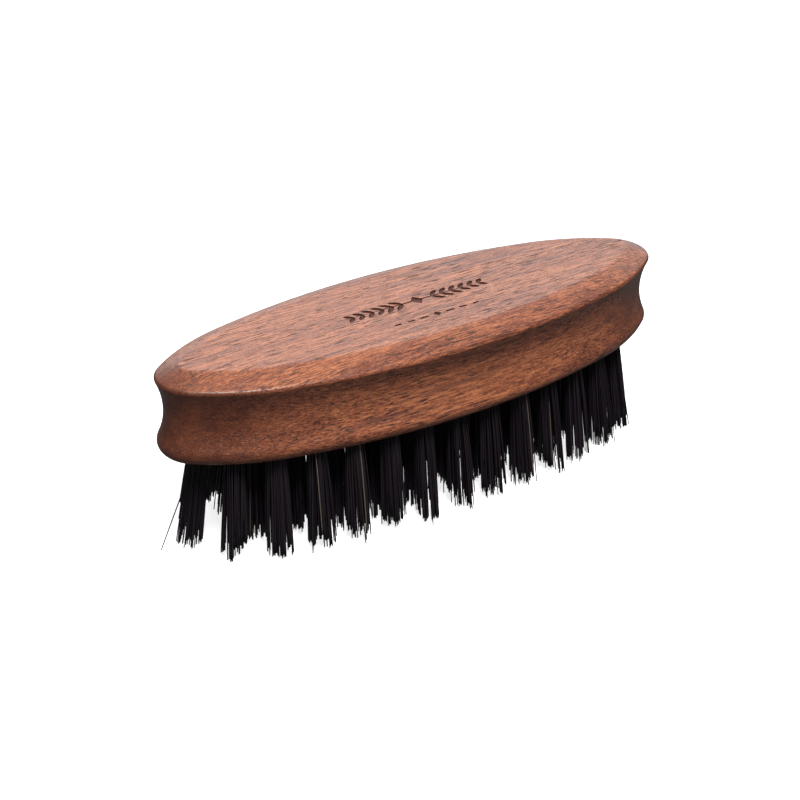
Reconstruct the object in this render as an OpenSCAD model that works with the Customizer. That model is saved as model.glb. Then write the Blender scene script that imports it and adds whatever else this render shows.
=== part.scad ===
// Oval beard brush: a walnut hand block with a coved edge, drilled from below with rings of
// blind bores. Each bore holds one tuft of bristle, folded in half over a flat wire anchor.
// X runs along the block, Y across it and Z up to the flat back. The origin is in the
// middle of the plane of the bristle tips, which is what the brush stands on.

/* [Block] */
// Length of the block
block_length = 120; // [96:1:150]
// Width of the block
block_width = 39; // [32:0.5:48]
// Thickness of the wood
block_height = 18.5; // [15:0.5:24]
// Radius of each rounded end, seen from above
end_radius = 8; // [7.5:0.1:9]
// Width of the crowned border that runs round the flat back
crown_width = 5.1; // [4:0.1:6.4]
// How full the crown is: 0 is a flat bevel, near 1 it blends into the back
crown_fullness = 0.15; // [0.1:0.05:0.8]

/* [Edge moulding] */
// Height of the back above the widest line of the lip
lip_drop = 2.7; // [1.6:0.1:3]
// Radius of the lip
lip_radius = 0.8; // [0.8:0.1:1.4]
// Depth of the cove between the lip and the bead
cove_depth = 1.5; // [0.8:0.1:2]
// Height of the widest line of the bead above the underside
bead_height = 2; // [1.5:0.1:2.6]
// Radius of the bead where it turns into the cove
bead_radius = 3; // [1.5:0.1:4]
// How far the edge of the underside stands in from the bead
arris_inset = 1.1; // [0.6:0.1:1.6]

/* [Ornament] */
// Length of the carved sprig on the back
sprig_length = 37; // [24:1:44]
// Leaf pairs on each side of the middle of the sprig
leaf_pairs = 6; // [3:1:8]
// Length of the largest leaf
leaf_length = 3.4; // [2:0.1:4]
// Distance of the carved dash line from the sprig, towards -Y
line_distance = 7.4; // [6:0.2:9]
// Depth of the carving
carving_depth = 0.3; // [0.2:0.1:0.6]

/* [Tufts] */
// Tufts in the outer ring
outer_tufts = 28; // [20:2:28]
// Tufts in the middle ring
middle_tufts = 22; // [16:2:22]
// Tufts in the centre row
centre_tufts = 8; // [6:1:8]
// Distance of the outer ring from each long side of the block
ring_inset = 4.7; // [4.5:0.1:6]
// Distance of the outer ring from each end of the block
end_inset = 8.5; // [8:0.1:10]
// Fullness of both rings: 2 is an ellipse, and more is squarer
ring_fullness = 2.2; // [2:0.05:2.25]
// Gap from the outer ring to the middle ring at the ends
ring_gap = 7.5; // [6.5:0.1:9]
// Width of the middle ring, as a share of the outer ring
middle_share = 0.58; // [0.5:0.01:0.64]
// Gap from the middle ring to the end of the centre row
centre_gap = 12; // [11:0.5:18]
// Lean of the outer ring, away from the middle
outer_lean = 8; // [4:0.5:12]
// Lean of the middle ring
middle_lean = 4; // [2:0.5:7]
// Length of bristle that stands out of the block
bristle_length = 22; // [15:0.5:28]
// Radius of a tuft at its tips
tip_radius = 2.5; // [2:0.1:3]
// Length of the straight neck of a tuft below the block
neck_length = 0.6; // [0.5:0.1:2]

/* [Bores and anchors] */
// Diameter of each bore
bore_diameter = 4; // [3:0.1:4.2]
// Depth of each bore along its axis
bore_depth = 9; // [7:0.5:10]
// Clearance round the bundle in its bore
bundle_clearance = 0.05; // [0:0.01:0.1]
// Bristle between the anchor and the bottom of the bore
fold_height = 1; // [0.6:0.1:1.5]
// Height of an anchor along the bore
anchor_height = 1.8; // [1.2:0.1:2.4]
// Thickness of the anchor wire
anchor_thickness = 0.4; // [0.3:0.05:0.6]
// How far each end of an anchor bites into the wood
anchor_bite = 0.3; // [0.2:0.05:0.4]

/* [Hidden] */
half_length = block_length / 2;
half_width = block_width / 2;
underside_z = bristle_length;
back_z = bristle_length + block_height;
bore_radius = bore_diameter / 2;
bundle_radius = bore_radius - bundle_clearance;
past = 1; // how far a cutter runs past the face that it opens
wood = "#8a4a33";
bristle_black = "#1b181d";
wire_grey = "#b9bbbd";

// The plan is an oval of tangent arcs: one round each end, one along each side and one
// at each shoulder between them. These are the directions in which they meet.
end_turn = 52;
side_turn = 76;

// Moving a half-axis along each arc in turn gives two equations for the two free radii.
end_run = end_radius * (1 - cos(end_turn)) - half_length;
end_rise = half_width - end_radius * sin(end_turn);
turn_run = cos(side_turn) - cos(end_turn);
turn_rise = sin(side_turn) - sin(end_turn);
turn_left = 1 - sin(side_turn);
plan_factor = turn_run * turn_left + cos(side_turn) * turn_rise;
shoulder_radius = (end_run * turn_left + cos(side_turn) * end_rise) / plan_factor;
side_radius = (turn_run * end_rise - turn_rise * end_run) / plan_factor;

end_centre = [half_length - end_radius, 0];
shoulder_centre = end_centre + (end_radius - shoulder_radius) * [cos(end_turn), sin(end_turn)];
side_centre = [0, half_width - side_radius];

function mirror_x(p) = [-p[0], p[1]];
function mirror_y(p) = [p[0], -p[1]];

// Every arc of the plan, anticlockwise from the +X end: centre, radius, first and last direction
plan_arcs = [
    [end_centre, end_radius, -end_turn, end_turn],
    [shoulder_centre, shoulder_radius, end_turn, side_turn],
    [side_centre, side_radius, side_turn, 180 - side_turn],
    [mirror_x(shoulder_centre), shoulder_radius, 180 - side_turn, 180 - end_turn],
    [mirror_x(end_centre), end_radius, 180 - end_turn, 180 + end_turn],
    [mirror_y(mirror_x(shoulder_centre)), shoulder_radius, 180 + end_turn, 180 + side_turn],
    [mirror_y(side_centre), side_radius, 180 + side_turn, 360 - side_turn],
    [mirror_y(shoulder_centre), shoulder_radius, 360 - side_turn, 360 - end_turn],
];

// The moulded edge is swept as a band, and a plain core fills the middle
band_width = crown_width + (end_radius - crown_width) * 0.7;
core_inset = crown_width + (end_radius - crown_width) * 0.35;

function on_arc(centre, radius, from, to, steps) =
    [for (i = [0 : steps]) centre + radius * [cos(from + (to - from) * i / steps),
                                              sin(from + (to - from) * i / steps)]];

// Edge moulding, with x from the outline of the block and y from the underside.
// Each arc meets the next on the line through their centres.
lip_height = block_height - lip_drop;
cove_height = (bead_height + lip_height) / 2;
cove_reach = ((lip_height - cove_height) ^ 2 + cove_depth ^ 2) / (2 * cove_depth);
upper_cove_radius = cove_reach - lip_radius;
lower_cove_radius = cove_reach - bead_radius;
arris_radius = (bead_height ^ 2 + arris_inset ^ 2) / (2 * arris_inset);
lip_centre = [-lip_radius, lip_height];
upper_cove_centre = [upper_cove_radius - cove_depth, cove_height];
lower_cove_centre = [lower_cove_radius - cove_depth, cove_height];
bead_centre = [-bead_radius, bead_height];
arris_centre = [-arris_radius, bead_height];
lip_turn = atan2(lip_height - cove_height, upper_cove_centre[0] + lip_radius);
bead_turn = atan2(cove_height - bead_height, lower_cove_centre[0] + bead_radius);
arris_turn = asin(bead_height / arris_radius);

// The crown starts at a faint edge on the back and runs into the lip
crown_start = [-crown_width, block_height];
crown_run = norm(crown_start - lip_centre);
steepest = atan2(lip_drop, crown_width - lip_radius) - asin(lip_radius / crown_run);
crown_break = steepest * (1 - crown_fullness);
crown_normal = [sin(crown_break), cos(crown_break)];
crown_radius = (crown_run ^ 2 - lip_radius ^ 2)
             / (2 * ((crown_start - lip_centre) * crown_normal - lip_radius));
crown_centre = crown_start - crown_radius * crown_normal;
crown_turn = atan2(lip_centre[1] - crown_centre[1], lip_centre[0] - crown_centre[0]);

edge_points = concat(
    [[-band_width, 0]],
    on_arc(arris_centre, arris_radius, -arris_turn, 0, 4),
    on_arc(bead_centre, bead_radius, bead_turn / 4, bead_turn, 3),
    on_arc(lower_cove_centre, lower_cove_radius, 180 + bead_turn * 0.8, 180, 4),
    on_arc(upper_cove_centre, upper_cove_radius, 180 - lip_turn / 5, 180 - lip_turn, 4),
    on_arc(lip_centre, lip_radius, -lip_turn * 0.7, crown_turn, 8),
    on_arc(crown_centre, crown_radius, crown_turn + (90 - crown_break - crown_turn) / 3,
           90 - crown_break, 2),
    [[-band_width, block_height]]);

core_points = [for (a = plan_arcs) each on_arc(a[0], a[1] - core_inset, a[2], a[3], 12)];

// Tufts stand at equal steps along a full oval. A running length is kept for every degree of
// its parameter, and read backwards to find where each tuft stands.
function signed_power(v, power) = sign(v) * pow(abs(v), power);
function oval_point(a, b, t) =
    [a * signed_power(cos(t), 2 / ring_fullness), b * signed_power(sin(t), 2 / ring_fullness)];
function oval_step(a, b, t) = norm(oval_point(a, b, t) - oval_point(a, b, t - 1));
function running_length(a, b) =
    [for (t = 0, s = 0; t <= 360; t = t + 1, s = s + oval_step(a, b, t)) [s, t]];
function ring_site(a, b, p, lean) =
    [p[0], p[1], atan2(signed_power(p[1] / b, ring_fullness - 1) / b,
                       signed_power(p[0] / a, ring_fullness - 1) / a), lean];
function ring_sites(a, b, count, first, lean) =
    let (table = running_length(a, b), whole = table[360][0])
    [for (i = [0 : count - 1])
        ring_site(a, b, oval_point(a, b, lookup(whole * (i + first) / count, table)), lean)];

outer_a = half_length - end_inset;
outer_b = half_width - ring_inset;
middle_a = outer_a - ring_gap;
middle_b = outer_b * middle_share;
centre_a = middle_a - centre_gap;

// One site is x, y, the direction of its lean and the lean itself. The outer ring starts with a
// tuft at the +X end, and the middle ring half a step past it.
outer_sites = ring_sites(outer_a, outer_b, outer_tufts, 0, outer_lean);
middle_sites = ring_sites(middle_a, middle_b, middle_tufts, 0.5, middle_lean);
centre_sites = [for (i = [0 : centre_tufts - 1])
    [centre_a * (2 * i / (centre_tufts - 1) - 1), 0, 0, 0]];
sites = concat(outer_sites, middle_sites, centre_sites);

function two_digits(n) = n < 10 ? str("0", n) : str(n);
function row_names(row, count) = [for (i = [1 : count]) str(row, "_tuft_", two_digits(i))];
tuft_names = concat(row_names("outer", outer_tufts), row_names("middle", middle_tufts),
                    row_names("centre", centre_tufts));

// Puts its children on a site, with their own Z running down the bore and out to the tips.
// Their origin is where the axis of the bore meets the underside.
module at_site(site) {
    translate([site[0], site[1], underside_z])
        rotate([0, 0, site[2]])
            rotate([0, 180 - site[3], 0])
                children();
}

module anchor() {
    anchor_width = bore_diameter + 2 * anchor_bite;
    translate([-anchor_thickness / 2, -anchor_width / 2, fold_height - bore_depth])
        cube([anchor_thickness, anchor_width, anchor_height]);
}

module bore() {
    translate([0, 0, -bore_depth])
        cylinder(h = bore_depth + past, r = bore_radius, $fn = 48);
}

// A bundle folded at the bottom of its bore, straight as far as its neck, then flaring
module bundle(lean) {
    reach = bristle_length / cos(lean) + tip_radius;
    fold_edge = bundle_radius / 4;
    flare = (tip_radius - bundle_radius) / (bristle_length - neck_length);
    rotate_extrude($fn = 48)
        polygon([
            [0, -bore_depth],
            [bundle_radius - fold_edge, -bore_depth],
            [bundle_radius, fold_edge - bore_depth],
            [bundle_radius, neck_length],
            [bundle_radius + flare * (reach - neck_length), reach],
            [0, reach],
        ]);
}

module tuft(site) {
    trim = 3 * tip_radius + past;
    color(bristle_black)
        difference() {
            at_site(site) bundle(site[3]);
            at_site(site) anchor();
            translate([site[0] - trim * 2, site[1] - trim * 2, -trim])
                cube([trim * 4, trim * 4, trim]);
        }
}

module anchors() {
    color(wire_grey)
        for (site = sites)
            at_site(site) anchor();
}

module edge_band() {
    for (a = plan_arcs)
        translate(a[0])
            rotate_extrude(angle = a[3] - a[2], start = a[2], $fn = 360)
                translate([a[1], 0])
                    polygon(edge_points);
}

// A leaf is where two equal circles overlap, with its stalk end at the origin
module leaf(length, width) {
    leaf_radius = (length ^ 2 + width ^ 2) / (4 * width);
    intersection() {
        translate([length / 2, leaf_radius - width / 2])
            circle(r = leaf_radius, $fn = 96);
        translate([length / 2, width / 2 - leaf_radius])
            circle(r = leaf_radius, $fn = 96);
    }
}

module diamond(length, width) {
    polygon([[-length / 2, 0], [0, -width / 2], [length / 2, 0], [0, width / 2]]);
}

module sprig() {
    leaf_lean = 38;
    first_leaf = 3.4;
    leaf_pitch = (sprig_length / 2 - first_leaf - leaf_length * 0.6) / (leaf_pairs - 0.5);
    diamond(3, 3.6);
    diamond(sprig_length, 0.5);
    for (side = [0, 1], half = [0, 1], i = [0 : leaf_pairs - 1])
        mirror([side, 0, 0])
            mirror([0, half, 0])
                translate([first_leaf + leaf_pitch * i, 0])
                    rotate(leaf_lean)
                        leaf(leaf_length * (1 - i * 0.35 / leaf_pairs), 1.1);
}

module dash_line() {
    dash_pitch = 3.2;
    diamond(1.8, 1.8);
    for (side = [-1, 1], i = [1 : 3])
        translate([side * dash_pitch * i, 0])
            square([2.4 - i * 0.3, 0.5], center = true);
}

module carving() {
    translate([0, 0, back_z - carving_depth])
        linear_extrude(carving_depth + past) {
            sprig();
            translate([0, -line_distance])
                dash_line();
        }
}

module block() {
    color(wood)
        difference() {
            translate([0, 0, underside_z])
                union() {
                    linear_extrude(block_height)
                        polygon(core_points);
                    edge_band();
                }
            for (site = sites)
                at_site(site) bore();
            anchors();
            carving();
        }
}

block();
anchors();
for (i = [0 : len(sites) - 1])
    tuft(sites[i]);
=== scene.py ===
import math
import bpy
import numpy as np
from mathutils import Matrix, Vector


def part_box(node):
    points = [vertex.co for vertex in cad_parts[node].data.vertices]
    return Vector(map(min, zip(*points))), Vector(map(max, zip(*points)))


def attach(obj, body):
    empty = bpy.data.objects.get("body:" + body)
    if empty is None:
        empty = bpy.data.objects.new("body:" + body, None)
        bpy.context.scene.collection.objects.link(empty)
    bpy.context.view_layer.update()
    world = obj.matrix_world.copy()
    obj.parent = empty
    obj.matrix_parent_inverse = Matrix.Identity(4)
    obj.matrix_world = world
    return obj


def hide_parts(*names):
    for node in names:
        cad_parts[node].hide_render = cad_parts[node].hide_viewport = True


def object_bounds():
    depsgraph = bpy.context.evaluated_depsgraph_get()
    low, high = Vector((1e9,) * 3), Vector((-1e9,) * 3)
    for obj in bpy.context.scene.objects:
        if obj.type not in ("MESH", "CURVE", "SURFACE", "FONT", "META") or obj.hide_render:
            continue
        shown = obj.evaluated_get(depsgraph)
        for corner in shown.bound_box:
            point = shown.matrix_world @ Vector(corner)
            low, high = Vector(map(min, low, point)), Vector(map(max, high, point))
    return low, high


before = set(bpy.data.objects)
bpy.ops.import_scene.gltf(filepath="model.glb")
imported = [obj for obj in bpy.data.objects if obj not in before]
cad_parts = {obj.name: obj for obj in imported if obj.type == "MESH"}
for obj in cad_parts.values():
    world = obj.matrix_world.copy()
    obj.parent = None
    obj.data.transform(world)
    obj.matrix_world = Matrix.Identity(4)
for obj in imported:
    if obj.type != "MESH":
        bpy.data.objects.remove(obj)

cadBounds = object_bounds()
mm = 0.001


def deselectAll():
    for thing in list(bpy.context.selected_objects):
        thing.select_set(False)


def workOn(thing):
    deselectAll()
    thing.select_set(True)
    bpy.context.view_layer.objects.active = thing


def applyPlace(thing):
    workOn(thing)
    bpy.ops.object.transform_apply(location=True, rotation=True, scale=True)


def applyModifier(thing, name, kind, **settings):
    workOn(thing)
    modifier = thing.modifiers.new(name, kind)
    for setting, value in settings.items():
        setattr(modifier, setting, value)
    bpy.ops.object.modifier_apply(modifier=modifier.name)


def removeThing(thing):
    mesh = thing.data
    bpy.data.objects.remove(thing)
    bpy.data.meshes.remove(mesh)


def joinThings(things, name):
    workOn(things[0])
    for thing in things[1:]:
        thing.select_set(True)
    bpy.ops.object.join()
    things[0].name = name
    return things[0]


# Wraps a shader socket, so that sums on wires add their own Math nodes
class Wire:
    def __init__(self, tree, socket):
        self.tree = tree
        self.socket = socket

    def node(self, kind, settings=None, inputs=None, output=0):
        made = self.tree.nodes.new("ShaderNode" + kind)
        for name, value in (settings or {}).items():
            if name == "stops":
                self.fillRamp(made.color_ramp, value)
            else:
                setattr(made, name, value)
        for name, value in (inputs or {}).items():
            if isinstance(value, Wire):
                self.tree.links.new(value.socket, made.inputs[name])
            else:
                made.inputs[name].default_value = value
        return Wire(self.tree, made.outputs[output]) if made.outputs else None

    def fillRamp(self, ramp, stops):
        while len(ramp.elements) < len(stops):
            ramp.elements.new(1.0)
        for element, (place, colour) in zip(ramp.elements, stops):
            element.position = place
            element.color = (*colour, 1.0)

    def maths(self, operation, first, second=0.0, clamp=False):
        return self.node("Math", dict(operation=operation, use_clamp=clamp), {0: first, 1: second})

    def __add__(self, other):
        return self.maths("ADD", self, other)

    def __radd__(self, other):
        return self.maths("ADD", other, self)

    def __sub__(self, other):
        return self.maths("SUBTRACT", self, other)

    def __rsub__(self, other):
        return self.maths("SUBTRACT", other, self)

    def __mul__(self, other):
        return self.maths("MULTIPLY", self, other)

    def __rmul__(self, other):
        return self.maths("MULTIPLY", other, self)

    def __truediv__(self, other):
        return self.maths("DIVIDE", self, other)

    def clamped(self):
        return self.maths("ADD", self, 0.0, clamp=True)

    # 0 below low and 1 above high, smoothly between them
    def between(self, low, high):
        settings = dict(interpolation_type="SMOOTHSTEP")
        return self.node("MapRange", settings, {"Value": self, "From Min": low, "From Max": high})

    def axis(self, name):
        return self.node("SeparateXYZ", {}, {"Vector": self}, name)

    def stretched(self, x, y, z):
        return self.node("Mapping", {}, {"Vector": self, "Scale": (x, y, z)})

    def noise(self, scale, detail=2.0, roughness=0.5, distortion=0.0):
        values = {"Vector": self, "Scale": scale, "Detail": detail, "Roughness": roughness,
                  "Distortion": distortion}
        return self.node("TexNoise", {}, values, "Fac")

    def blend(self, first, second, how="MIX"):
        settings = dict(data_type="RGBA", blend_type=how)
        return self.node("Mix", settings, {"Factor": self, 6: first, 7: second}, 2)


def newPaint(name, coordinates="Object"):
    material = bpy.data.materials.new(name)
    material.use_nodes = True
    material.node_tree.nodes.clear()
    place = material.node_tree.nodes.new("ShaderNodeTexCoord")
    return material, Wire(material.node_tree, place.outputs[coordinates])


def finishPaint(place, **inputs):
    shader = place.node("BsdfPrincipled", {}, {n.replace("_", " "): v for n, v in inputs.items()})
    place.node("OutputMaterial", {}, {"Surface": shader})


# Camera, lights and floor. Angles are in degrees and distances in metres, from a point in the block.
studio = dict(
    aboveUnderside=0.009,
    turn=-35.25,
    rise=26.91,
    distance=0.4242,
    aim=(-0.0057, -0.0028, -0.0109),
    lens=92.0,
    roll=0.95,
    keyPlace=(-0.15, -0.42, 0.90),
    keySize=0.35,
    keyPower=12.6,
    backdropWay=(0.515, 0.729, 0.452),
    backdropStart=0.72,
    backdropFull=0.96,
    backdropGlow=1.75,
    roomGlow=0.16,
    floorSize=6.0,
    floorGlow=0.80,
)


def addSoftbox(name, place, size, power, target):
    bpy.ops.object.light_add(type="AREA", location=Vector(place) + target)
    light = bpy.context.object
    light.name = name
    light.data.shape = "SQUARE"
    light.data.size = size
    light.data.energy = power
    light.rotation_euler = (-Vector(place)).to_track_quat("-Z", "Y").to_euler()
    return light


def buildStudio():
    low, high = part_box("block")
    blockMiddle = (low + high) / 2
    blockMiddle.z = low.z + studio["aboveUnderside"]
    turn = math.radians(studio["turn"])
    rise = math.radians(studio["rise"])
    outwards = Vector((math.sin(turn) * math.cos(rise), -math.cos(turn) * math.cos(rise), math.sin(rise)))
    place = blockMiddle + outwards * studio["distance"]
    sight = blockMiddle + Vector(studio["aim"]) - place
    bpy.ops.object.camera_add(location=place)
    camera = bpy.context.object
    camera.name = "camera"
    facing = sight.to_track_quat("-Z", "Y").to_matrix()
    rolled = facing @ Matrix.Rotation(math.radians(studio["roll"]), 3, "Z")
    camera.rotation_euler = rolled.to_euler()
    camera.data.lens = studio["lens"]
    camera.data.sensor_width = 36.0
    camera.data.clip_start = 0.01
    bpy.context.scene.camera = camera

    addSoftbox("keyLight", studio["keyPlace"], studio["keySize"], studio["keyPower"], blockMiddle)

    world = bpy.data.worlds.new("studioSky")
    bpy.context.scene.world = world
    world.use_nodes = True
    world.node_tree.nodes.clear()
    coordinates = world.node_tree.nodes.new("ShaderNodeTexCoord")
    way = Wire(world.node_tree, coordinates.outputs["Generated"])
    backness = way.node("VectorMath", dict(operation="DOT_PRODUCT"), {0: way, 1: studio["backdropWay"]}, "Value")
    strength = studio["roomGlow"] + studio["backdropGlow"] * backness.between(
        studio["backdropStart"], studio["backdropFull"])
    glow = way.node("Background", {}, {"Color": (1.0, 1.0, 1.0, 1.0), "Strength": strength})
    way.node("OutputWorld", {}, {"Surface": glow})

    bpy.ops.mesh.primitive_plane_add(size=studio["floorSize"], location=(0.0, 0.0, cadBounds[0][2]))
    floor = bpy.context.object
    floor.name = "studioFloor"
    floor.visible_diffuse = False
    floor.visible_glossy = False
    material, coordinates = newPaint("floorWhite")
    finishPaint(coordinates, Base_Color=(0.8, 0.8, 0.8, 1.0), Roughness=0.9,
                Emission_Color=(1.0, 1.0, 1.0, 1.0), Emission_Strength=studio["floorGlow"])
    floor.data.materials.append(material)
    bpy.context.scene.view_settings.view_transform = "Standard"


buildStudio()
print("studio ready")


# Oiled walnut, with the grain along X. The patterns are in mm.
walnut = dict(
    lightWood=(0.52, 0.185, 0.080),
    midWood=(0.290, 0.088, 0.042),
    darkWood=(0.085, 0.024, 0.015),
    streakWood=(0.115, 0.042, 0.036),
    poreWood=(0.022, 0.006, 0.005),
    burntWood=(0.050, 0.012, 0.007),
    # How far the ends are darkened: partly darker end grain, partly painted shade
    endShadeAndGrain=0.8,
    roughness=0.36,
    carvingDepth=0.3,
)


def walnutPaint():
    material, place = newPaint("oiledWalnut")
    grain = place.stretched(1000.0, 1000.0, 1000.0)
    figure = grain.stretched(0.012, 0.14, 0.14).noise(1.0, 3.0, 0.55, 0.8)
    bands = grain.stretched(0.012, 0.75, 0.75).noise(1.0, 3.0, 0.6, 0.5)
    fibre = grain.stretched(0.20, 2.9, 2.9).noise(1.0, 2.0, 0.7)
    speckle = grain.stretched(1.3, 4.2, 4.2).noise(1.0, 1.5, 0.8)
    facing = Wire(place.tree, place.socket.node.outputs["Normal"]).axis("X")
    endFacing = facing.maths("ABSOLUTE", facing).between(0.08, 0.6)
    contrast = 1 - endFacing * 0.55
    tone = (figure - 0.5) * 0.9 + (bands - 0.5) * 0.6 + ((fibre - 0.5) * 1.8 + (speckle - 0.5) * 1.3) * contrast + 0.5
    colour = tone.node("ValToRGB", dict(stops=[
        (0.05, walnut["darkWood"]), (0.50, walnut["midWood"]), (0.95, walnut["lightWood"])]), {"Fac": tone})
    streak = grain.stretched(0.011, 0.36, 0.36).noise(1.0, 3.0, 0.65, 0.4).between(0.57, 0.70)
    colour = (streak * 0.6).blend(colour, (*walnut["streakWood"], 1.0))
    pores = grain.stretched(0.28, 3.6, 3.6).noise(1.0, 1.5, 0.6).between(0.56, 0.63) * contrast
    patches = grain.stretched(0.03, 0.35, 0.35).noise(1.0, 1.0).between(0.3, 0.6)
    pores = pores * (0.35 + patches * 0.65)
    colour = (pores * 0.8).blend(colour, (*walnut["poreWood"], 1.0))
    # Surfaces facing the ends are darkened by the way they face: partly the darker end grain, partly painted shade on
    # the end bead, cove and bevel
    colour = (endFacing * walnut["endShadeAndGrain"]).blend(colour, (0.34, 0.29, 0.31, 1.0), "MULTIPLY")
    low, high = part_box("block")
    height = place.axis("Z") * 1000.0
    back = high[2] * 1000.0
    across = place.axis("Y") * 1000.0
    along = place.axis("X") * 1000.0
    below = height.between(back - 0.02, back - 0.08) * height.between(back - walnut["carvingDepth"] * 2,
                                                                      back - walnut["carvingDepth"] * 1.5)
    inside = across.maths("ABSOLUTE", across).between(10.5, 10.4) * along.maths("ABSOLUTE", along).between(22.5, 22.4)
    carved = below * inside
    colour = (carved * 0.92).blend(colour, (*walnut["burntWood"], 1.0))
    roughness = walnut["roughness"] + pores * 0.25 + (fibre - 0.5) * 0.2 + carved * 0.3
    relief = (fibre - 0.5) * 0.03 - pores * 0.05 + (speckle - 0.5) * 0.03
    bump = relief.node("Bump", {}, {"Height": relief, "Strength": 0.8, "Distance": 0.001})
    finishPaint(place, Base_Color=colour, Roughness=roughness, Normal=bump, Specular_IOR_Level=0.5)
    return material


# The hand block. Lengths are in metres; insets are from the widest outline of the block.
handBlock = dict(
    halfLength=60.0 * mm,
    endRadius=8.0 * mm,
    endTurn=52.0,
    sideTurn=76.0,
    endSteps=36,
    shoulderSteps=26,
    sideSteps=44,
    crownWidth=5.1 * mm,
    crownFullness=0.15,
    creaseSoftness=0.15 * mm,
    lipDrop=2.7 * mm,
    lipRadius=0.8 * mm,
    coveDepth=1.5 * mm,
    beadHeight=2.0 * mm,
    beadRadius=3.0 * mm,
    arrisInset=1.1 * mm,
    flatBorder=0.4 * mm,
    boreDepth=9.0 * mm,
    boreClearance=0.05 * mm,
    boreSides=28,
    carvingDepth=0.3 * mm,
)


def arcPoints(centre, radius, start, end, steps):
    angles = [start + (end - start) * i / steps for i in range(steps + 1)]
    return [(centre[0] + radius * math.cos(a), centre[1] + radius * math.sin(a)) for a in angles]


# The edge moulding from the underside to the back, as (distance out from the outline, height)
def edgeProfile(blockHeight):
    shape = handBlock
    lipHeight = blockHeight - shape["lipDrop"]
    coveHeight = (shape["beadHeight"] + lipHeight) / 2
    depth = shape["coveDepth"]
    reach = ((lipHeight - coveHeight) ** 2 + depth ** 2) / (2 * depth)
    upperRadius = reach - shape["lipRadius"]
    lowerRadius = reach - shape["beadRadius"]
    arrisRadius = (shape["beadHeight"] ** 2 + shape["arrisInset"] ** 2) / (2 * shape["arrisInset"])
    lipTurn = math.atan2(lipHeight - coveHeight, upperRadius - depth + shape["lipRadius"])
    beadTurn = math.atan2(coveHeight - shape["beadHeight"], lowerRadius - depth + shape["beadRadius"])
    arrisTurn = math.asin(shape["beadHeight"] / arrisRadius)

    lipCentre = Vector((-shape["lipRadius"], lipHeight))
    crownStart = Vector((-shape["crownWidth"], blockHeight))
    run = (crownStart - lipCentre).length
    steepest = math.atan2(shape["lipDrop"], shape["crownWidth"] - shape["lipRadius"])
    steepest -= math.asin(shape["lipRadius"] / run)
    crownBreak = steepest * (1 - shape["crownFullness"])
    normal = Vector((math.sin(crownBreak), math.cos(crownBreak)))
    crownRadius = (run ** 2 - shape["lipRadius"] ** 2)
    crownRadius /= 2 * ((crownStart - lipCentre).dot(normal) - shape["lipRadius"])
    crownCentre = crownStart - crownRadius * normal
    crownTurn = math.atan2(lipCentre.y - crownCentre.y, lipCentre.x - crownCentre.x)
    crownEnd = math.pi / 2 - crownBreak

    points = [(-shape["arrisInset"] - shape["flatBorder"], 0.0)]
    points += arcPoints((-arrisRadius, shape["beadHeight"]), arrisRadius, -arrisTurn, 0.0, 8)
    points += arcPoints((-shape["beadRadius"], shape["beadHeight"]), shape["beadRadius"], 0.0, beadTurn, 5)[1:]
    lowerCentre = (lowerRadius - depth, coveHeight)
    points += arcPoints(lowerCentre, lowerRadius, math.pi + beadTurn, math.pi, 10)[1:]
    upperCentre = (upperRadius - depth, coveHeight)
    points += arcPoints(upperCentre, upperRadius, math.pi, math.pi - lipTurn, 10)[1:]
    points += arcPoints(lipCentre, shape["lipRadius"], -lipTurn, crownTurn, 14)[1:]
    points += arcPoints(crownCentre, crownRadius, crownTurn, crownEnd, 8)[1:]
    points.append((-shape["crownWidth"] - shape["creaseSoftness"], blockHeight))
    points.append((-shape["crownWidth"] - 2 * shape["creaseSoftness"], blockHeight))
    return points


# The middle of a node's points between two heights
def sliceMiddle(points, low, high):
    chosen = points[(points[:, 2] >= low) & (points[:, 2] <= high)]
    return Vector((chosen.min(axis=0) + chosen.max(axis=0)) / 2)


# Where a tuft's bore opens, which way the tuft runs from there, and its radius in the bore
def tuftLine(name, undersideHeight):
    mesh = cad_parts[name].data
    points = np.empty(len(mesh.vertices) * 3)
    mesh.vertices.foreach_get("co", points)
    points = points.reshape(-1, 3)
    tip = sliceMiddle(points, -1.0, 0.01 * mm)
    foldTop = points[:, 2].max()
    fold = sliceMiddle(points, foldTop - 1.0 * mm, foldTop)
    run = (tip - fold).normalized()
    mouth = fold + run * ((undersideHeight - fold.z) / run.z)
    return mouth, run


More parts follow.
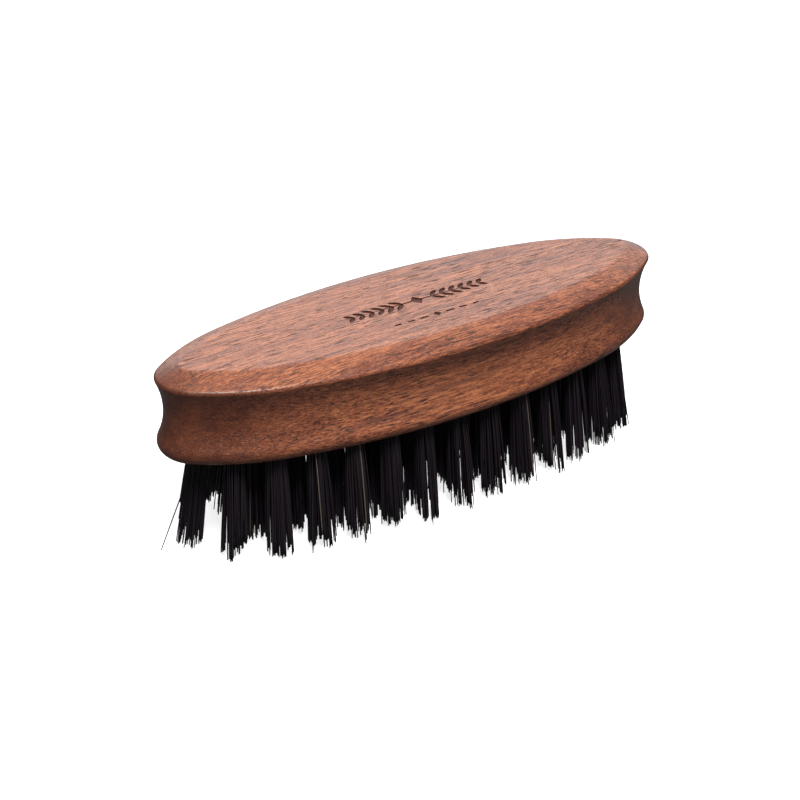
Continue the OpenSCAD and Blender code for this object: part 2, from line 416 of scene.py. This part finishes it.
# The plan of the block is an oval of eight tangent arcs: centre, radius, first and last direction
def planArcs(halfLength, halfWidth):
    endRadius = handBlock["endRadius"]
    endTurn = math.radians(handBlock["endTurn"])
    sideTurn = math.radians(handBlock["sideTurn"])
    endRun = endRadius * (1 - math.cos(endTurn)) - halfLength
    endRise = halfWidth - endRadius * math.sin(endTurn)
    turnRun = math.cos(sideTurn) - math.cos(endTurn)
    turnRise = math.sin(sideTurn) - math.sin(endTurn)
    turnLeft = 1 - math.sin(sideTurn)
    factor = turnRun * turnLeft + math.cos(sideTurn) * turnRise
    shoulderRadius = (endRun * turnLeft + math.cos(sideTurn) * endRise) / factor
    sideRadius = (turnRun * endRise - turnRise * endRun) / factor
    endCentre = (halfLength - endRadius, 0.0)
    shoulderCentre = (endCentre[0] + (endRadius - shoulderRadius) * math.cos(endTurn),
                      (endRadius - shoulderRadius) * math.sin(endTurn))
    sideCentre = (0.0, halfWidth - sideRadius)
    half = math.pi
    quarterSteps = handBlock["shoulderSteps"]
    return [
        (endCentre, endRadius, -endTurn, endTurn, handBlock["endSteps"]),
        (shoulderCentre, shoulderRadius, endTurn, sideTurn, quarterSteps),
        (sideCentre, sideRadius, sideTurn, half - sideTurn, handBlock["sideSteps"]),
        ((-shoulderCentre[0], shoulderCentre[1]), shoulderRadius, half - sideTurn, half - endTurn, quarterSteps),
        ((-endCentre[0], 0.0), endRadius, half - endTurn, half + endTurn, handBlock["endSteps"]),
        ((-shoulderCentre[0], -shoulderCentre[1]), shoulderRadius, half + endTurn, half + sideTurn, quarterSteps),
        ((0.0, -sideCentre[1]), sideRadius, half + sideTurn, 2 * half - sideTurn, handBlock["sideSteps"]),
        ((shoulderCentre[0], -shoulderCentre[1]), shoulderRadius, 2 * half - sideTurn, 2 * half - endTurn,
         quarterSteps),
    ]


# The moulding is drawn once at the first arc, spun round each arc in turn, and closed above and below
def makeBlock():
    low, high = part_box("block")
    underside = low[2]
    arcs = planArcs(handBlock["halfLength"], high[1])
    profile = edgeProfile(high[2] - underside)
    centre, radius, start = arcs[0][:3]
    aim = Vector((math.cos(start), math.sin(start), 0.0))
    outline = Vector((*centre, underside)) + aim * radius
    points = [outline + aim * out + Vector((0.0, 0.0, height)) for out, height in profile]
    bpy.ops.mesh.primitive_plane_add(size=1.0 * mm, location=points[0])
    block = bpy.context.object
    block.name = "walnutBlock"
    bpy.ops.object.mode_set(mode="EDIT")
    bpy.ops.mesh.select_all(action="SELECT")
    bpy.ops.mesh.merge(type="CENTER")
    for before, after in zip(points, points[1:]):
        bpy.ops.mesh.extrude_region_move(TRANSFORM_OT_translate={"value": after - before})
    bpy.ops.mesh.select_all(action="SELECT")
    for centre, radius, start, end, steps in arcs:
        bpy.ops.mesh.spin(steps=steps, angle=start - end, center=(*centre, 0.0), axis=(0.0, 0.0, 1.0))
    bpy.ops.mesh.select_all(action="SELECT")
    bpy.ops.mesh.remove_doubles(threshold=1e-6)
    bpy.ops.mesh.fill_holes(sides=0)
    bpy.ops.mesh.select_all(action="SELECT")
    bpy.ops.mesh.normals_make_consistent(inside=False)
    bpy.ops.object.mode_set(mode="OBJECT")
    applyPlace(block)
    return block


# One cutter with a cylinder for every bore
def makeBoreCutter(lines, radius):
    depth = handBlock["boreDepth"]
    past = 1.0 * mm
    cutters = []
    for mouth, run in lines:
        centre = mouth + run * (past - depth) / 2
        turn = run.to_track_quat("Z", "Y").to_euler()
        bpy.ops.mesh.primitive_cylinder_add(vertices=handBlock["boreSides"], radius=radius,
                                            depth=depth + past, location=centre, rotation=turn)
        cutters.append(bpy.context.object)
    cutter = joinThings(cutters, "boreCutter")
    applyPlace(cutter)
    return cutter


# The floor of the carving is lifted off a copy of the CAD block and raised through the back
def makeCarvingCutter(backHeight):
    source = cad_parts["block"]
    cutter = bpy.data.objects.new("carvingCutter", source.data.copy())
    bpy.context.collection.objects.link(cutter)
    cutter.data.materials.clear()
    floorHeight = backHeight - handBlock["carvingDepth"]
    workOn(cutter)
    bpy.ops.object.mode_set(mode="EDIT")
    bpy.ops.mesh.select_all(action="SELECT")
    bpy.ops.mesh.customdata_custom_splitnormals_clear()
    bpy.ops.mesh.remove_doubles(threshold=1e-7)
    bpy.ops.mesh.select_mode(type="FACE")
    bpy.ops.mesh.select_all(action="DESELECT")
    bpy.ops.object.mode_set(mode="OBJECT")
    for face in cutter.data.polygons:
        face.select = not (abs(face.center.z - floorHeight) < 1e-6 and face.normal.z > 0.9)
    bpy.ops.object.mode_set(mode="EDIT")
    bpy.ops.mesh.delete(type="FACE")
    bpy.ops.mesh.select_all(action="SELECT")
    bpy.ops.mesh.dissolve_limited(angle_limit=0.01)
    bpy.ops.mesh.select_all(action="SELECT")
    bpy.ops.mesh.extrude_region_move(TRANSFORM_OT_translate={"value": (0.0, 0.0, 0.8 * mm)})
    bpy.ops.mesh.select_all(action="SELECT")
    bpy.ops.mesh.normals_make_consistent(inside=False)
    bpy.ops.object.mode_set(mode="OBJECT")
    return cutter


tuftNames = [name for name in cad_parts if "_tuft_" in name]
tuftLines = {name: tuftLine(name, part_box("block")[0][2]) for name in tuftNames}

walnutBlock = makeBlock()
bundleRadius = 1.95 * mm
boreCutter = makeBoreCutter(tuftLines.values(), bundleRadius + handBlock["boreClearance"])
applyModifier(walnutBlock, "bores", "BOOLEAN", operation="DIFFERENCE", object=boreCutter, solver="EXACT")
removeThing(boreCutter)
carvingCutter = makeCarvingCutter(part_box("block")[1][2])
applyModifier(walnutBlock, "carving", "BOOLEAN", operation="DIFFERENCE", object=carvingCutter, solver="EXACT")
removeThing(carvingCutter)
workOn(walnutBlock)
bpy.ops.object.shade_smooth_by_angle(angle=math.radians(30.0))
walnutBlock.data.materials.append(walnutPaint())
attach(walnutBlock, "root")
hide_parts("block")
print("block ready:", len(walnutBlock.data.polygons), "faces")


# Stiff black bristle. Lengths are in metres. Each hair ends in a small bunch of its neighbours.
bristle = dict(
    hairs=150,
    hairRadius=0.14 * mm,
    tipShare=0.85,
    hairSides=4,
    packRadius=1.78 * mm,
    flare=1.62,
    flareEase=0.55,
    bunches=16,
    bunchPull=0.75,
    bunchDrop=3.4 * mm,
    hairDrop=0.9 * mm,
    shortShare=0.16,
    shortDrop=5.0 * mm,
    wander=0.30 * mm,
    floorGap=0.15 * mm,
    strayShare=0.02,
    strayReach=1.1 * mm,
    longStrays={"outer_tuft_15": (6.6 * mm, 4.0 * mm)},
    foldDepth=8.55 * mm,
    foldSpread=0.3 * mm,
    anchorHalf=0.36 * mm,
    anchorTop=6.0 * mm,
    levels=(0.0, 0.06, 0.2, 0.45, 0.72, 0.9, 1.0),
    blueBlack=(0.0075, 0.0048, 0.0088),
    brownBlack=(0.0175, 0.0115, 0.0165),
    # Colour of a few pale hairs: partly real light hairs, partly painted glints
    paleHairAndGlint=(0.150, 0.120, 0.100),
    roughness=0.40,
    seed=41,
)


# One straight hair along Z: a ring of points at each level, from the bore to the tip
def makeHairPattern():
    sides = bristle["hairSides"]
    bpy.ops.mesh.primitive_circle_add(vertices=sides, radius=1.0, fill_type="NGON", location=(0, 0, 0))
    hair = bpy.context.object
    hair.name = "hairPattern"
    bpy.ops.object.mode_set(mode="EDIT")
    bpy.ops.mesh.select_all(action="SELECT")
    rings = len(bristle["levels"]) + 3
    for ring in range(1, rings):
        bpy.ops.mesh.extrude_region_move(TRANSFORM_OT_translate={"value": (0.0, 0.0, 1.0)})
    bpy.ops.mesh.select_all(action="SELECT")
    bpy.ops.mesh.normals_make_consistent(inside=False)
    bpy.ops.object.mode_set(mode="OBJECT")
    points = np.array([v.co[:] for v in hair.data.vertices])
    faces = [list(face.vertices) for face in hair.data.polygons]
    removeThing(hair)
    return points, faces


# The line of one hair: fold, legs past the anchor, mouth of the bore, then the free length
def hairLine(chance, mouth, run, sideways, along, bunches, outward, stray):
    radius = bristle["packRadius"] * math.sqrt(chance.uniform(0.0, 1.0))
    turn = chance.uniform(0.0, 2 * math.pi)
    u = radius * math.cos(turn)
    w = radius * math.sin(turn)
    leg = math.copysign(max(abs(u), bristle["anchorHalf"]), u)
    fold = bristle["foldDepth"] - bristle["foldSpread"] * (1 - abs(u) / bristle["packRadius"])
    path = [
        (0.0, w, -fold),
        (leg * 0.75, w, -fold + 0.22 * mm),
        (leg, w, -bristle["anchorTop"]),
    ]
    bunchU, bunchW, bunchDrop = min(bunches, key=lambda bunch: (u - bunch[0]) ** 2 + (w - bunch[1]) ** 2)
    pull = bristle["bunchPull"] * chance.uniform(0.4, 1.0)
    wander = bristle["wander"] * chance.normal()
    wanderTurn = chance.uniform(0.0, 2 * math.pi)
    endU = (u + (bunchU - u) * pull) * bristle["flare"] + wander * math.cos(wanderTurn)
    endW = (w + (bunchW - w) * pull) * bristle["flare"] + wander * math.sin(wanderTurn)
    drop = bunchDrop + bristle["hairDrop"] * chance.exponential()
    if chance.uniform() < bristle["shortShare"]:
        drop += bristle["shortDrop"] * chance.uniform(0.1, 1.0)
    reach = Vector((0.0, 0.0, 0.0))
    if stray > 0 or chance.uniform() < bristle["strayShare"]:
        size = stray if stray > 0 else bristle["strayReach"] * chance.uniform(0.4, 1.0)
        swing = 0.0 if stray > 0 else chance.normal() * 0.5
        reach = (outward + outward.cross(Vector((0.0, 0.0, 1.0))) * swing) * size
        drop *= 0.2
    height = min(drop, 9.0 * mm) + bristle["floorGap"]
    endLocal = sideways * endU + along * endW + reach
    length = (height - mouth.z - endLocal.z) / run.z
    inBore = [mouth + run * t + sideways * a + along * b for a, b, t in path]
    free = []
    for level in bristle["levels"]:
        ease = level ** bristle["flareEase"]
        place = sideways * (u + (endU - u) * ease) + along * (w + (endW - w) * ease) + reach * level
        free.append(mouth + run * (length * level) + place)
    return inBore + free


def makeTuft(name, number, pattern):
    chance = np.random.default_rng(bristle["seed"] * 1000 + number)
    mouth, run = tuftLines[name]
    outward = Vector((run.x, run.y, 0.0))
    sideways = outward.normalized() if outward.length > 1e-4 else Vector((1.0, 0.0, 0.0))
    outward = sideways
    sideways = (sideways - run * sideways.dot(run)).normalized()
    along = run.cross(sideways)
    bunches = []
    for _ in range(bristle["bunches"]):
        radius = bristle["packRadius"] * math.sqrt(chance.uniform(0.0, 1.0))
        turn = chance.uniform(0.0, 2 * math.pi)
        drop = bristle["bunchDrop"] * chance.uniform(0.0, 1.0) ** 1.4
        bunches.append((radius * math.cos(turn), radius * math.sin(turn), drop))
    strays = bristle["longStrays"].get(name, ())
    patternPoints, patternFaces = pattern
    rings = patternPoints[:, 2].round().astype(int)
    corners = []
    faces = []
    marks = []
    for hair in range(bristle["hairs"]):
        stray = strays[hair] if hair < len(strays) else 0.0
        line = hairLine(chance, mouth, run, sideways, along, bunches, outward, stray)
        shade = chance.uniform()
        thickness = bristle["hairRadius"] * chance.uniform(0.8, 1.15)
        start = len(corners)
        shares = [min(1.0, max(0.0, (i - 3) / (len(line) - 4))) for i in range(len(line))]
        for point, ring in zip(patternPoints, rings):
            before = line[max(ring - 1, 0)]
            after = line[min(ring + 1, len(line) - 1)]
            direction = (after - before).normalized()
            first = direction.cross(along).normalized()
            second = direction.cross(first)
            width = thickness * (1 - (1 - bristle["tipShare"]) * shares[ring] ** 2)
            corners.append(line[ring] + (first * point[0] + second * point[1]) * width)
            marks.append((shade, shares[ring]))
        faces += [[start + corner for corner in face] for face in patternFaces]
    mesh = bpy.data.meshes.new(name)
    mesh.from_pydata(corners, [], faces)
    layer = mesh.uv_layers.new(name="hairMarks")
    for loop in mesh.loops:
        layer.data[loop.index].uv = marks[loop.vertex_index]
    tuft = bpy.data.objects.new("bristles_" + name, mesh)
    bpy.context.collection.objects.link(tuft)
    workOn(tuft)
    bpy.ops.object.mode_set(mode="EDIT")
    bpy.ops.mesh.select_all(action="SELECT")
    bpy.ops.mesh.normals_make_consistent(inside=False)
    bpy.ops.object.mode_set(mode="OBJECT")
    bpy.ops.object.shade_smooth()
    return tuft


def bristlePaint():
    material, marks = newPaint("blackBristle", "UV")
    shade = marks.axis("X")
    # The palest stop gives a few hairs a pale grey colour: partly real light hairs, partly painted glints along the
    # hair
    colour = shade.node("ValToRGB", dict(stops=[
        (0.0, bristle["blueBlack"]), (0.9, bristle["brownBlack"]), (0.985, bristle["brownBlack"]),
        (0.992, bristle["paleHairAndGlint"])]), {"Fac": shade})
    roughness = bristle["roughness"] + shade * 0.15
    finishPaint(marks, Base_Color=colour, Roughness=roughness, Specular_IOR_Level=0.4)
    return material


hairPattern = makeHairPattern()
blackBristle = bristlePaint()
for number, name in enumerate(tuftNames):
    tuft = makeTuft(name, number, hairPattern)
    tuft.data.materials.append(blackBristle)
    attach(tuft, "root")
    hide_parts(name)
print("tufts ready:", len(tuftNames))


# The anchors are drawn steel wire, rolled flat
def wirePaint():
    material, place = newPaint("anchorSteel")
    lines = place.stretched(4000.0, 4000.0, 60000.0).noise(1.0, 2.0)
    roughness = 0.28 + lines * 0.2
    tone = lines.node("ValToRGB", dict(stops=[(0.2, (0.42, 0.42, 0.43)), (0.8, (0.62, 0.62, 0.62))]),
                      {"Fac": lines})
    finishPaint(place, Base_Color=tone, Roughness=roughness, Metallic=1.0)
    return material


anchorSteel = wirePaint()
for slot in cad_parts["anchors"].material_slots:
    slot.material = anchorSteel
